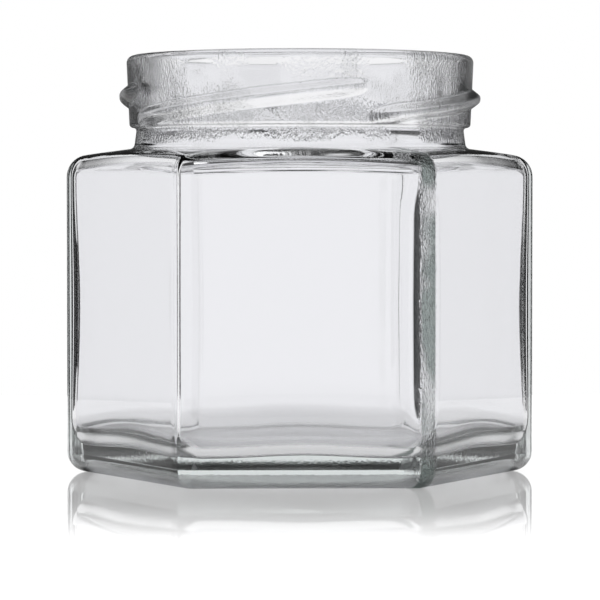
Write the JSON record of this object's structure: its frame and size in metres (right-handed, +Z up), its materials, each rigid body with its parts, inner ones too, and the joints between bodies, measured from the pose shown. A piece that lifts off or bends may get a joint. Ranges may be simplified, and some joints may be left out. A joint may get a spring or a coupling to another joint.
{
  "type": "hexagonal glass jar",
  "caption": "Empty clear glass jar with a hexagonal body, rounded corners, a wide round neck and lug threads for a twist-off lid.",
  "frame": {"origin": "centre of the base, on the plane that the jar stands on", "axes": "+Z up along the jar's axis, flat walls facing -Y and +Y, two upright corners on the X axis"},
  "size_m": [0.0804, 0.0706, 0.0716],
  "materials": {
    "clear_glass": "clear pressed and blown soda-lime glass, fire-polished, smooth with faint waves and a faint grey-green cast in the thick corners"
  },
  "bodies": {
    "root": {"jar": "clear_glass"}
  },
  "joints": []
}
